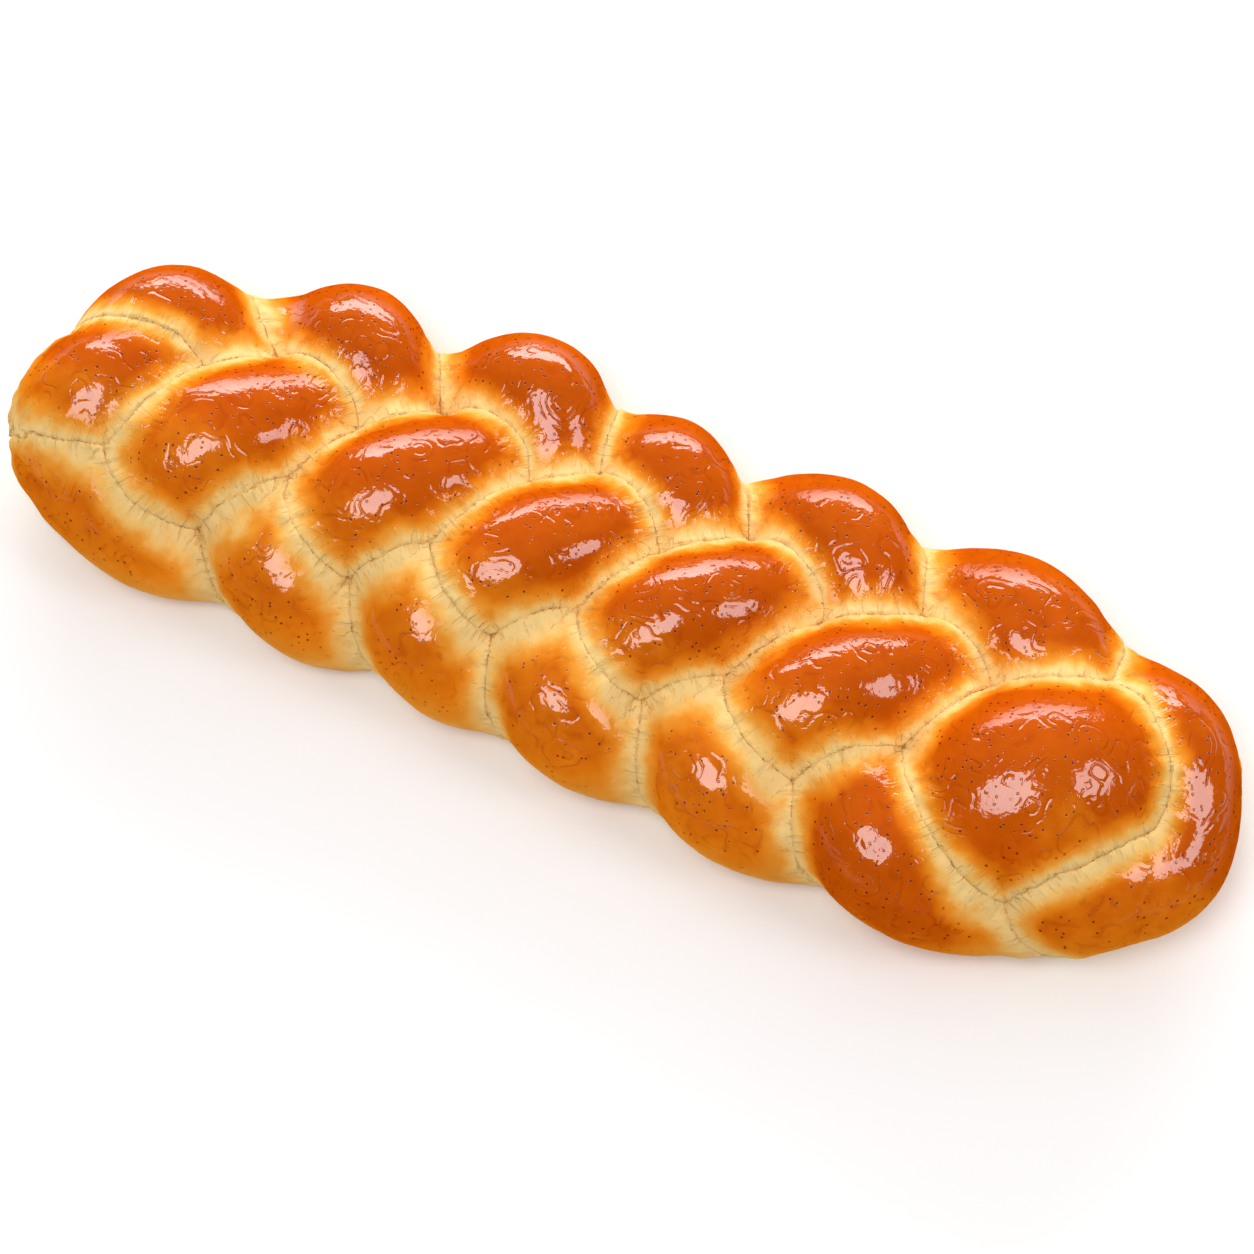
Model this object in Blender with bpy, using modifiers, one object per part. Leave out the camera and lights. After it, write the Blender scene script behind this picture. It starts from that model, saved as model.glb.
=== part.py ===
"""A braided loaf: four ropes of dough plaited flat and baked into one piece.

Frame: metres, +Z up, +X along the loaf towards its broad, round end, +Y across it. The origin is the
middle of the loaf's base, on the surface it rests on.

Each rope swings from one side of the loaf to the other and back over four pitches, and rises over and
dips under its neighbours as it goes. The next rope follows one pitch behind. A place along the plait
is given as a step: step 0 is the first crossing on the middle row, step 1 the next, and so on. The
four ropes and a core of dough are merged into one body, softened as proving and baking do, and cut
flat where the loaf stood on its tray.
"""

import math

import bmesh
import bpy
from mathutils import Matrix, Vector

# Driving dimensions, in metres.
PITCH = 0.0520  # along the loaf from one middle crossing to the next
ROPE_RADIUS = 0.31 * PITCH  # mean radius of a rope
MERGE_CELL = 0.0020  # cell of the mesh that merges the ropes into one body
SOFTEN_PASSES = 6  # rounds of smoothing, which turn the sharp valleys between ropes into soft ones
KEPT_SHARE = 0.10  # of the merged mesh's faces, the share that the finished surface keeps
TRAY_CUT_DEPTH = 0.04  # of the block that cuts the base flat, deeper than any rope reaches
TRAY_CUT_LENGTH = 0.6  # of each side of that block, more than the loaf's length

# The plait, in pitches.
ROPES = 4
SWING = 0.82  # from the loaf's axis to a rope's middle where it turns at the side
SIDE_HEIGHT = 0.25  # of a rope's middle at the side
WEAVE = 0.11  # how far a rope rises over, and dips under, its neighbours
CROWN = 0.22  # how much higher the ropes cross on the axis than at the sides
LEAN = 0.16  # how far a rope is pulled along the loaf for each pitch that it lies across
BOW = -0.0075  # sideways curve of the whole loaf, for each squared pitch along it
SWELL = 0.26  # share by which a rope is thicker where it lies on top

# (step, place along the loaf from its middle): even in between, drawn in where the ropes are pinched
# together at the narrow end and where the last rope folds back round the broad end.
TRAVEL = (
    (-1.2, -3.50),
    (-0.5, -3.22),
    (0.0, -3.08),
    (0.5, -2.83),
    (1.0, -2.25),
    (4.0, 0.75),
    (5.0, 1.80),
    (6.0, 2.95),
    (6.5, 3.45),
    (7.0, 3.78),
    (7.5, 3.55),
    (8.2, 3.10),
)

# (step, share of the full swing): the plait narrows to both ends.
SPREAD = (
    (-1.2, 0.45),
    (-0.5, 0.90),
    (0.0, 0.60),
    (0.5, 0.95),
    (1.0, 1.00),
    (5.0, 1.00),
    (6.0, 0.90),
    (6.5, 0.85),
    (7.0, 0.75),
    (7.5, 0.66),
    (8.2, 0.62),
)

# First and last step of each rope.
ROPE_ENDS = ((-0.56, 6.4), (0.0, 8.18), (-0.4, 6.9), (-0.45, 6.72))
END_ROUNDING = 0.35  # of a step, over which a rope's end is rounded off

# A hand-plaited loaf is uneven. For each lobe: the rope it belongs to, the step of its middle, how far
# it is moved along and across the loaf and raised, in pitches, and the share by which it is thicker.
MIDDLE_ROW = (
    (0, 0.0, 0.00, -0.18, 0.00, 0.14),
    (1, 1.0, -0.10, -0.20, 0.00, 0.15),
    (2, 2.0, 0.00, -0.05, 0.00, 0.10),
    (3, 3.0, -0.10, -0.10, 0.00, 0.05),
    (0, 4.0, -0.10, -0.05, 0.00, 0.00),
    (1, 5.0, -0.15, -0.10, 0.00, 0.10),
    (2, 6.0, -0.02, -0.05, -0.02, 0.72),
)
NEAR_ROW = (
    (2, 0.05, -0.10, 0.00, 0.00, 0.16),
    (2, 0.45, -0.20, 0.13, 0.00, 0.02),
    (3, 1.5, -0.05, 0.05, 0.00, -0.05),
    (0, 2.5, -0.05, 0.05, 0.00, 0.00),
    (1, 3.5, -0.10, -0.05, 0.00, 0.00),
    (2, 4.5, -0.10, -0.10, 0.00, 0.00),
    (3, 5.5, -0.19, -0.09, 0.05, 0.12),
)
FAR_ROW = (
    (3, -0.2, -0.08, -0.33, 0.00, -0.05),
    (3, 0.35, -0.15, -0.16, 0.00, 0.10),
    (3, 0.70, 0.03, 0.04, 0.00, 0.05),
    (0, 0.75, 0.05, -0.06, 0.06, 0.09),
    (0, 1.05, 0.00, 0.00, 0.00, 0.12),
    (0, 1.5, -0.10, 0.05, 0.00, -0.05),
    (1, 2.05, 0.00, 0.00, 0.00, 0.12),
    (1, 2.5, 0.00, 0.25, 0.00, -0.05),
    (2, 3.5, 0.00, 0.05, 0.00, -0.05),
    (3, 4.5, 0.10, 0.15, 0.00, 0.00),
    (0, 5.5, 0.22, 0.16, 0.00, 0.18),
    (1, 6.5, 0.09, -0.05, 0.00, 0.02),
    (1, 7.05, -0.08, -0.04, 0.06, 0.50),
    (1, 7.5, 0.03, 0.12, -0.10, 0.00),
)
LOBES = MIDDLE_ROW + NEAR_ROW + FAR_ROW
LOBE_REACH = 0.42  # steps from a lobe's middle over which its own shape fades out

# The core, in pitches: half its length, width and height, and the height of its middle.
CORE_HALF_LENGTH = 3.5
CORE_HALF_WIDTH = 0.80
CORE_HALF_HEIGHT = 0.42
CORE_MIDDLE = 0.22

POINTS_PER_STEP = 8  # of a rope's centre line
RING_DETAIL = 6  # bevel resolution of a rope, which gives it 16 sides


def clear_scene():
    """Removes the objects that a new file starts with."""
    for obj in list(bpy.data.objects):
        bpy.data.objects.remove(obj, do_unlink=True)


def new_collection(name):
    """A collection of this name in the scene."""
    collection = bpy.data.collections.new(name)
    bpy.context.scene.collection.children.link(collection)
    return collection


def smooth_through(stations, at):
    """The value at one place of a smooth curve through the stations, which never overshoots them."""
    last = len(stations) - 1
    gaps = [stations[i + 1][0] - stations[i][0] for i in range(last)]
    rises = [(stations[i + 1][1] - stations[i][1]) / gaps[i] for i in range(last)]
    tilts = [rises[0]]
    for i in range(1, last):
        before, after = rises[i - 1], rises[i]
        if before * after <= 0:
            tilts.append(0.0)
            continue
        weight = (2 * gaps[i] + gaps[i - 1], gaps[i] + 2 * gaps[i - 1])
        tilts.append(sum(weight) / (weight[0] / before + weight[1] / after))
    tilts.append(rises[-1])
    place = min(max(at, stations[0][0]), stations[-1][0])
    i = next(i for i in range(last) if place <= stations[i + 1][0])
    t = (place - stations[i][0]) / gaps[i]
    start, end = stations[i][1], stations[i + 1][1]
    return (
        start * (1 + 2 * t) * (1 - t) ** 2
        + end * t**2 * (3 - 2 * t)
        + gaps[i] * (tilts[i] * t * (1 - t) ** 2 - tilts[i + 1] * t**2 * (1 - t))
    )


def rounding(rope, step):
    """How full a rope is near its ends: 0 at the tip, 1 once its end has rounded out."""
    first, last = ROPE_ENDS[rope]
    full = 1.0
    for away in (step - first, last - step):
        t = min(max(away / END_ROUNDING, 0.0), 1.0)
        full *= 1 - (1 - t) ** 2
    return math.sqrt(full)


def rope_point(rope, step):
    """A rope's centre and radius at this step, in pitches."""
    phase = math.pi / 2 * (step - rope + 1)
    over = -math.sin(3 * phase)
    y = -SWING * smooth_through(SPREAD, step) * math.cos(phase)
    x = smooth_through(TRAVEL, step) + LEAN * y
    z = SIDE_HEIGHT + WEAVE * over + CROWN * (1 - (y / SWING) ** 2)
    thickness = 1 + SWELL * over
    for lobe_rope, middle, along, across, raised, extra in LOBES:
        if lobe_rope == rope:
            nearness = math.exp(-(((step - middle) / LOBE_REACH) ** 2))
            x += along * nearness
            y += across * nearness
            z += raised * nearness
            thickness += extra * nearness
    y += BOW * x**2
    return (x, y, z), thickness * rounding(rope, step)


def rope_curve(rope, collection):
    """One rope of dough: a round tube along its path through the plait."""
    first, last = ROPE_ENDS[rope]
    count = round((last - first) * POINTS_PER_STEP) + 1
    data = bpy.data.curves.new(f"rope_{rope + 1}", "CURVE")
    data.dimensions = "3D"
    data.bevel_depth = ROPE_RADIUS
    data.bevel_resolution = RING_DETAIL
    data.use_fill_caps = True
    spline = data.splines.new("POLY")
    spline.points.add(count - 1)
    for i, point in enumerate(spline.points):
        step = first + (last - first) * i / (count - 1)
        centre, thickness = rope_point(rope, step)
        point.co = (*(PITCH * c for c in centre), 1)
        point.radius = max(thickness, 0.05)
    obj = bpy.data.objects.new(f"rope_{rope + 1}", data)
    collection.objects.link(obj)
    return obj


def add_solid(gathered, obj):
    """Adds an object's shape, as it stands, to the gathered mesh, then removes the object."""
    depsgraph = bpy.context.evaluated_depsgraph_get()
    mesh = bpy.data.meshes.new_from_object(obj.evaluated_get(depsgraph))
    mesh.transform(obj.matrix_world)
    gathered.from_mesh(mesh)
    bpy.data.meshes.remove(mesh)
    bpy.data.objects.remove(obj, do_unlink=True)


def core(gathered):
    """The dough inside the plait, which leaves no hollow between the ropes or under them."""
    size = Matrix.Diagonal((CORE_HALF_LENGTH, CORE_HALF_WIDTH, CORE_HALF_HEIGHT, 1))
    place = Matrix.Translation((0, 0, CORE_MIDDLE))
    scale = Matrix.Scale(PITCH, 4)
    bmesh.ops.create_uvsphere(
        gathered, u_segments=32, v_segments=16, radius=1, matrix=scale @ place @ size
    )


def base_cutter(collection):
    """The block below the tray's surface, which cuts the base flat."""
    bpy.ops.mesh.primitive_cube_add(size=1)
    obj = bpy.context.object
    obj.name = "tray_cut"
    for other in obj.users_collection:
        other.objects.unlink(obj)
    collection.objects.link(obj)
    obj.scale = (TRAY_CUT_LENGTH, TRAY_CUT_LENGTH, TRAY_CUT_DEPTH)
    obj.location = (0, 0, -TRAY_CUT_DEPTH / 2)
    obj.hide_render = True
    obj.display_type = "WIRE"
    return obj


def crust():
    """Egg-washed crust: golden brown and softly glossy."""
    material = bpy.data.materials.new("baked_crust")
    material.use_nodes = True
    shader = material.node_tree.nodes["Principled BSDF"]
    shader.inputs["Base Color"].default_value = (0.52, 0.19, 0.04, 1)
    shader.inputs["Roughness"].default_value = 0.32
    shader.inputs["Metallic"].default_value = 0.0
    material.diffuse_color = (0.52, 0.19, 0.04, 1)
    return material


def loaf(collection, cutters):
    """The whole loaf: ropes and core merged into one body, softened and cut flat underneath."""
    gathered = bmesh.new()
    for rope in range(ROPES):
        curve = rope_curve(rope, collection)
        bpy.context.view_layer.update()
        add_solid(gathered, curve)
    bmesh.ops.remove_doubles(gathered, verts=gathered.verts, dist=1e-6)
    core(gathered)
    mesh = bpy.data.meshes.new("braided_loaf")
    gathered.to_mesh(mesh)
    gathered.free()
    mesh.materials.append(crust())
    obj = bpy.data.objects.new("braided_loaf", mesh)
    collection.objects.link(obj)

    merge = obj.modifiers.new("merge_ropes", "REMESH")
    merge.mode = "VOXEL"
    merge.voxel_size = MERGE_CELL
    merge.use_smooth_shade = True
    soften = obj.modifiers.new("soften", "SMOOTH")
    soften.factor = 0.5
    soften.iterations = SOFTEN_PASSES
    thin = obj.modifiers.new("fewer_faces", "DECIMATE")
    thin.ratio = KEPT_SHARE
    flat = obj.modifiers.new("flat_base", "BOOLEAN")
    flat.operation = "DIFFERENCE"
    flat.solver = "EXACT"
    flat.object = base_cutter(cutters)
    return obj


def centre_on_base(obj):
    """Moves the loaf so that the origin is the middle of its base."""
    bpy.context.view_layer.update()
    corners = [Vector(c) for c in obj.evaluated_get(bpy.context.evaluated_depsgraph_get()).bound_box]
    for axis in (0, 1):
        lowest = min(c[axis] for c in corners)
        highest = max(c[axis] for c in corners)
        obj.location[axis] = -(lowest + highest) / 2


def main():
    """Builds the loaf in its own collection."""
    clear_scene()
    part = new_collection("braided_loaf")
    cutters = new_collection("cutters")
    cutters.hide_render = True
    centre_on_base(loaf(part, cutters))


main()
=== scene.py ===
"""Show model of a braided loaf: four plump ropes of egg-washed dough, plaited flat and baked together.

The loaf lies along X with its broad, folded end at +X, and rests on a pale table top at z = 0. Its size
comes from the frame; everything else is worked out here in pitches, where one pitch is the way along the
loaf from one middle crossing to the next.
"""

import logging
import math
from collections.abc import Callable
from dataclasses import dataclass, field
from enum import Enum
from functools import partial
from itertools import product
from typing import Any

import bpy
import numpy as np
from mathutils import Matrix, Vector


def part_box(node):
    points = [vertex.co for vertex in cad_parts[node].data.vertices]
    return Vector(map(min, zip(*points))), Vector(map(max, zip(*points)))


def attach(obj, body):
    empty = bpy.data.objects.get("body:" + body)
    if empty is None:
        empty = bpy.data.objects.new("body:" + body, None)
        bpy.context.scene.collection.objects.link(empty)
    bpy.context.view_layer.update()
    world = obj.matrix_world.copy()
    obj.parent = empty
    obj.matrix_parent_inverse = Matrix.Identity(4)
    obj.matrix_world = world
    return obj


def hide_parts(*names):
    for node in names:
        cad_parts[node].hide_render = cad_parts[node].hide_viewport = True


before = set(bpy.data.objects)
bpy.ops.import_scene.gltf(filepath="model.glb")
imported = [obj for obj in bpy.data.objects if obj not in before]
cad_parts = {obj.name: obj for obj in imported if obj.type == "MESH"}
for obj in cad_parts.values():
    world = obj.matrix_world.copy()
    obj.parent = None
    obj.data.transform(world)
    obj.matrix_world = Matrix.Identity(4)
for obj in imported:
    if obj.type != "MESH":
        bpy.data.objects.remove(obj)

log = logging.getLogger("braided_loaf")

LOAF = "braided_loaf"
MM = 0.001

LEAST = 1e-3  # keeps a division from running away
WANDER_SEED = 7  # of the seams' swings from side to side
TEAR_SEED = 41  # of the cracks and puffs along them
ROPE_SEED = 11  # of the first rope's swells; each next rope's is one more

Array = np.ndarray
Colour = tuple[float, float, float, float]


def srgb(code: str) -> Colour:
    """Turns an sRGB hex code such as "D65F06" into a linear colour."""
    values = [int(code[i : i + 2], 16) / 255 for i in (0, 2, 4)]
    linear = [v / 12.92 if v <= 0.04045 else ((v + 0.055) / 1.055) ** 2.4 for v in values]
    return (*linear, 1.0)


def add_node(tree: bpy.types.NodeTree, kind: str, settings: dict[str, Any], inputs: dict[Any, Any]) -> Any:
    """Adds a node to a tree.

    Args:
        tree: the material's or world's node tree.
        kind: the node's type name, without its common "ShaderNode" beginning.
        settings: the node's own properties.
        inputs: a value, or the output socket that feeds it, by input name or number.

    Returns:
        The new node.
    """
    node = tree.nodes.new("ShaderNode" + kind)
    for name, value in settings.items():
        setattr(node, name, value)
    for key, value in inputs.items():
        if isinstance(value, bpy.types.NodeSocket):
            tree.links.new(value, node.inputs[key])
        else:
            node.inputs[key].default_value = value
    return node


def set_stops(node: Any, stops: tuple[tuple[float, str], ...]) -> None:
    """Puts the colours of a ramp node in place, from the lowest to the highest."""
    elements = node.color_ramp.elements
    while len(elements) < len(stops):
        elements.new(0.5)
    for element, (place, colour) in zip(elements, stops, strict=True):
        element.position = place
        element.color = srgb(colour)


def smooth_step(low: float, high: float, value: Array) -> Array:
    """An even rise from 0 at low to 1 at high."""
    t = np.clip((value - low) / (high - low), 0, 1)
    return t * t * (3 - 2 * t)


def rise(span: tuple[float, float], value: Array) -> Array:
    """An even rise from 0 to 1 over a span in millimetres, for values in metres."""
    return smooth_step(span[0] * MM, span[1] * MM, value)


def add_to_scene(mesh: bpy.types.Mesh) -> bpy.types.Object:
    """Links a mesh to the scene as an object of the same name."""
    mesh.update()
    obj = bpy.data.objects.new(mesh.name, mesh)
    bpy.context.scene.collection.objects.link(obj)
    return obj


def unit(vectors: Array) -> Array:
    """The rows of an array, each brought to length 1."""
    return vectors / np.maximum(np.linalg.norm(vectors, axis=1, keepdims=True), 1e-9)


@dataclass(frozen=True)
class Stations:
    """A smooth curve through given values, which never overshoots them."""

    places: tuple[float, ...]
    values: tuple[float, ...]

    def at(self, where: Array) -> Array:
        """The curve's values at these places."""
        x, y = np.array(self.places), np.array(self.values)
        gap = np.diff(x)
        slope = np.diff(y) / gap
        before, after = slope[:-1], slope[1:]
        near, far = 2 * gap[1:] + gap[:-1], gap[1:] + 2 * gap[:-1]
        same_way = before * after > 0
        safe = np.where(same_way, before, 1), np.where(same_way, after, 1)
        inner = np.where(same_way, (near + far) / (near / safe[0] + far / safe[1]), 0)
        tilt = np.concatenate((slope[:1], inner, slope[-1:]))
        place = np.clip(where, x[0], x[-1])
        i = np.clip(np.searchsorted(x, place, side="left") - 1, 0, len(gap) - 1)
        t = (place - x[i]) / gap[i]
        ends = y[i] * (1 + 2 * t) * (1 - t) ** 2 + y[i + 1] * t**2 * (3 - 2 * t)
        return ends + gap[i] * (tilt[i] * t * (1 - t) ** 2 - tilt[i + 1] * t**2 * (1 - t))


@dataclass(frozen=True)
class Lobe:
    """How one lobe of the plait differs from an even one.

    Attributes:
        rope: the rope it belongs to, 0 to 3.
        step: the step of its middle.
        along: how far it is moved along the loaf, in pitches.
        across: how far it is moved across the loaf, in pitches.
        extra: the share by which it is thicker.
        lift: how far it is raised, in pitches.
    """

    rope: int
    step: float
    along: float
    across: float
    extra: float
    lift: float = 0.0


MIDDLE_ROW = (
    Lobe(0, 0.0, 0.00, -0.18, 0.14),
    Lobe(1, 1.0, -0.10, -0.20, 0.15),
    Lobe(2, 2.0, 0.00, -0.05, 0.10),
    Lobe(3, 3.0, -0.10, -0.10, 0.05),
    Lobe(0, 4.0, -0.10, -0.05, 0.00),
    Lobe(1, 5.0, -0.15, -0.10, 0.10),
    Lobe(2, 6.0, -0.02, -0.05, 0.72, -0.02),
)
NEAR_ROW = (
    Lobe(2, 0.05, -0.10, 0.00, 0.16),
    Lobe(2, 0.45, -0.20, 0.13, 0.02),
    Lobe(3, 1.5, -0.05, 0.05, -0.05),
    Lobe(0, 2.5, -0.05, 0.05, 0.00),
    Lobe(1, 3.5, -0.10, -0.05, 0.00),
    Lobe(2, 4.5, -0.10, -0.10, 0.00),
    Lobe(3, 5.5, -0.19, -0.09, 0.12, 0.05),
)
FAR_ROW = (
    Lobe(3, -0.2, -0.08, -0.33, -0.05),
    Lobe(3, 0.35, -0.15, -0.16, 0.10),
    Lobe(3, 0.70, 0.03, 0.04, 0.05),
    Lobe(0, 0.75, 0.05, -0.06, 0.09, 0.06),
    Lobe(0, 1.05, 0.0, 0.0, 0.12),
    Lobe(0, 1.5, -0.10, 0.05, -0.05),
    Lobe(1, 2.05, 0.0, 0.0, 0.12),
    Lobe(1, 2.5, 0.00, 0.25, -0.05),
    Lobe(2, 3.5, 0.00, 0.05, -0.05),
    Lobe(3, 4.5, 0.10, 0.15, 0.00),
    Lobe(0, 5.5, 0.22, 0.16, 0.18),
    Lobe(1, 6.5, 0.09, -0.05, 0.02),
    Lobe(1, 7.05, -0.08, -0.04, 0.50, 0.06),
    Lobe(1, 7.5, 0.03, 0.12, 0.00, -0.10),
)


@dataclass(frozen=True)
class Plait:
    """The plan of the plait, in pitches: where each rope runs and how thick it is.

    A rope swings from side to side once in four steps and rises over and dips under its neighbours. The
    next rope follows one step behind.
    """

    ropes: int = 4
    radius: float = 0.31
    swing: float = 0.82
    side_height: float = 0.25
    weave: float = 0.11
    crown: float = 0.22
    lean: float = 0.16
    bow: float = -0.0075
    swell: float = 0.26
    lobe_reach: float = 0.42
    end_rounding: float = 0.35
    ends: tuple[tuple[float, float], ...] = ((-0.56, 6.4), (0.0, 8.18), (-0.4, 6.9), (-0.45, 6.72))
    lobes: tuple[Lobe, ...] = MIDDLE_ROW + NEAR_ROW + FAR_ROW
    travel: Stations = Stations(
        (-1.2, -0.5, 0.0, 0.5, 1.0, 4.0, 5.0, 6.0, 6.5, 7.0, 7.5, 8.2),
        (-3.50, -3.22, -3.08, -2.83, -2.25, 0.75, 1.80, 2.95, 3.45, 3.78, 3.55, 3.10),
    )
    spread: Stations = Stations(
        (-1.2, -0.5, 0.0, 0.5, 1.0, 5.0, 6.0, 6.5, 7.0, 7.5, 8.2),
        (0.45, 0.90, 0.60, 0.95, 1.00, 1.00, 0.90, 0.85, 0.75, 0.66, 0.62),
    )

    def rope(self, index: int, steps: Array) -> tuple[Array, Array]:
        """Where a rope's middle is at these steps, and its radius there."""
        phase = math.pi / 2 * (steps - index + 1)
        over = -np.sin(3 * phase)
        y = -self.swing * self.spread.at(steps) * np.cos(phase)
        x = self.travel.at(steps) + self.lean * y
        z = self.side_height + self.weave * over + self.crown * (1 - (y / self.swing) ** 2)
        thickness = 1 + self.swell * over
        for lobe in self.lobes:
            if lobe.rope == index:
                nearness = np.exp(-(((steps - lobe.step) / self.lobe_reach) ** 2))
                x = x + lobe.along * nearness
                y = y + lobe.across * nearness
                z = z + lobe.lift * nearness
                thickness = thickness + lobe.extra * nearness
        y = y + self.bow * x**2
        first, last = self.ends[index]
        full = np.ones_like(steps)
        for away in (steps - first, last - steps):
            full *= 1 - (1 - np.clip(away / self.end_rounding, 0, 1)) ** 2
        return np.stack((x, y, z), axis=1), self.radius * thickness * np.sqrt(full)


@dataclass(frozen=True)
class LatticeNoise:
    """Smooth random swells in space, between about -1 and 1, the same for the same seed.

    Attributes:
        seed: picks the swells.
        size: cells after which they repeat.
        gain: brings the smoothed swells back to a height of about 1.
        fading: how high finer swells are against those twice as long.
    """

    seed: int
    size: int = 32
    gain: float = 1.6
    fading: float = 0.6

    def at(self, points: Array, wavelength: float) -> Array:
        """The noise at these points, with swells of about this size."""
        table = np.random.default_rng(self.seed).uniform(-1, 1, (self.size,) * 3)
        place = points / wavelength
        cell = np.floor(place).astype(int)
        part = place - cell
        part = part**3 * (part * (6 * part - 15) + 10)
        total = np.zeros(len(points))
        for corner in product((0, 1), repeat=3):
            weight = np.prod(np.where(np.array(corner) == 1, part, 1 - part), axis=1)
            i, j, k = ((cell + corner) % self.size).T
            total += weight * table[i, j, k]
        return self.gain * total

    def octaves(self, points: Array, wavelength: float, count: int) -> Array:
        """The noise with finer and fainter swells on it, each half as long as the last."""
        heights = [self.fading**k for k in range(count)]
        total = np.zeros(len(points))
        for k, height in enumerate(heights):
            total += height * self.at(points, wavelength / 2**k)
        return total / sum(heights) ** 0.5


@dataclass
class Neighbours:
    """The ropes that press on one rope, as rows of balls along their middles.

    Attributes:
        middles: the balls' middles.
        radii: their radii.
        owners: the number of the rope that each belongs to.
        search: how far away a ball can matter.
        batch: how many points are worked on together.
        skipped: of the balls, only each one of so many counts for the browning.
    """

    middles: Array
    radii: Array
    owners: Array
    search: float = 45 * MM
    batch: int = 2048
    skipped: int = 3

    def close_to(self, points: Array) -> Array:
        """The numbers of the balls that can matter to these points."""
        low, high = points.min(0) - self.search, points.max(0) + self.search
        inside = np.all((self.middles > low) & (self.middles < high), axis=1)
        return np.flatnonzero(inside) if inside.any() else np.arange(len(self.middles))

    def press(self, points: Array) -> tuple[Array, Array, Array]:
        """How far points are from the nearest neighbour.

        Args:
            points: rows of places.

        Returns:
            Distances to the neighbour's surface, the directions away from it, and which ball is nearest.
        """
        nearest = np.empty(len(points), int)
        for start in range(0, len(points), self.batch):
            some = points[start : start + self.batch].astype(np.float32)
            close = self.close_to(some)
            centres = self.middles[close].astype(np.float32)
            far = (some**2).sum(1)[:, None] + (centres**2).sum(1) - 2 * some @ centres.T
            gaps = np.sqrt(np.maximum(far, 0)) - self.radii[close].astype(np.float32)
            nearest[start : start + self.batch] = close[gaps.argmin(1)]
        away = points - self.middles[nearest]
        length = np.linalg.norm(away, axis=1)
        return length - self.radii[nearest], away / length[:, None], nearest

    def shade(self, skin: "PressedSkin", place: Array, browning: "Browning") -> Array:
        """How far points are from the neighbour that pales them most, in widths of its pale band.

        Args:
            skin: the rope's skin.
            place: where its points are now.
            browning: the widths of the pale bands.

        Returns:
            The distances, 0 at the seam and 1 where the band ends.
        """
        found = np.empty(len(place))
        for start in range(0, len(place), self.batch):
            part = slice(start, start + self.batch)
            some, normal = place[part].astype(np.float32), skin.outward[part].astype(np.float32)
            close = self.close_to(some)[:: self.skipped]
            centres, radii = self.middles[close].astype(np.float32), self.radii[close].astype(np.float32)
            far = (some**2).sum(1)[:, None] + (centres**2).sum(1) - 2 * some @ centres.T
            far = np.sqrt(np.maximum(far, 1e-8))
            facing = ((some * normal).sum(1)[:, None] - normal @ centres.T) / far
            gap = (far - radii - skin.lift[part, None]) / np.sqrt(2 * np.maximum(1 - facing, LEAST))
            heights = skin.heights[part, None]
            wide = browning.wide_share(heights, centres)
            width = browning.width(some, wide)
            share = np.maximum(gap, 0) / width
            found[part] = (share ** (1 + browning.flat * wide)).min(1)
        return found


@dataclass(frozen=True)
class Seam:
    """How two ropes of dough meet once baked, in millimetres.

    Attributes:
        fill: how broadly the valley between them is filled.
        pressed: how far each rope is pressed past the middle of the contact, so that no gap shows.
        deepest: how far a skin can be pressed in.
        hidden: how far below the seam a pressed skin is out of sight, and gets no relief.
        settled: how far it can be moved to lie on its own rope's surface.
        wanders: heights and lengths of the seam's swings from one rope towards the other.
        crack_depth: how deep the line between them is.
        crack_width: half its width.
        dip_depth: how deep the soft dip round the line is.
        dip_width: half its width.
        gape: lengths of the stretches along a seam where the line opens.
        gape_share: how much the longer and the shorter stretches count.
        gape_most: the deepest that the line gets, as a share of its depth.
        puff_height: how high the torn dough beside the line puffs up.
        puff_length: length of a puff along the seam.
        puff_start: span from the line over which puffs rise.
        puff_end: span over which they sink back into the skin.
    """

    fill: float = 10.0
    pressed: float = 0.3
    deepest: float = 20.0
    hidden: float = 1.0
    settled: float = 4.0
    wanders: tuple[tuple[float, float], ...] = ((0.55, 9.0), (0.3, 3.4))
    crack_depth: float = 0.20
    crack_width: float = 0.40
    dip_depth: float = 0.3
    dip_width: float = 3.2
    gape: tuple[float, float] = (11.0, 5.0)
    gape_share: tuple[float, float] = (0.6, 0.5)
    gape_most: float = 1.3
    puff_height: float = 0.50
    puff_length: float = 3.1
    puff_start: tuple[float, float] = (0.0, 1.2)
    puff_end: tuple[float, float] = (2.0, 9.0)

    def wander(self, points: Array) -> Array:
        """How far the seam near these points is moved from one rope towards the other."""
        noise = LatticeNoise(WANDER_SEED)
        (broad, broad_length), (fine, fine_length) = self.wanders
        swing = broad * noise.at(points, broad_length * MM)
        return (swing + fine * noise.at(points, fine_length * MM)) * MM

    def tear(self, foot: Array, seam_gap: Array) -> Array:
        """The seam's own relief, in millimetres.

        Args:
            foot: for each point of the skin, the nearest place on the seam.
            seam_gap: how far away that is.

        Returns:
            How far the crack, its dip and the puffs move the points outwards.
        """
        torn = LatticeNoise(TEAR_SEED)
        broken = 0.5
        for share, length in zip(self.gape_share, self.gape, strict=True):
            broken = broken + share * torn.at(foot, length * MM)
        broken = np.clip(broken, 0.0, self.gape_most)
        crack = broken * np.exp(-((seam_gap / (self.crack_width * MM)) ** 2))
        dip = np.exp(-((seam_gap / (self.dip_width * MM)) ** 2))
        beside = rise(self.puff_start, seam_gap) * (1 - rise(self.puff_end, seam_gap))
        puffs = torn.at(foot, self.puff_length * MM) * beside
        return self.puff_height * puffs - self.crack_depth * crack - self.dip_depth * dip * broken


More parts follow.
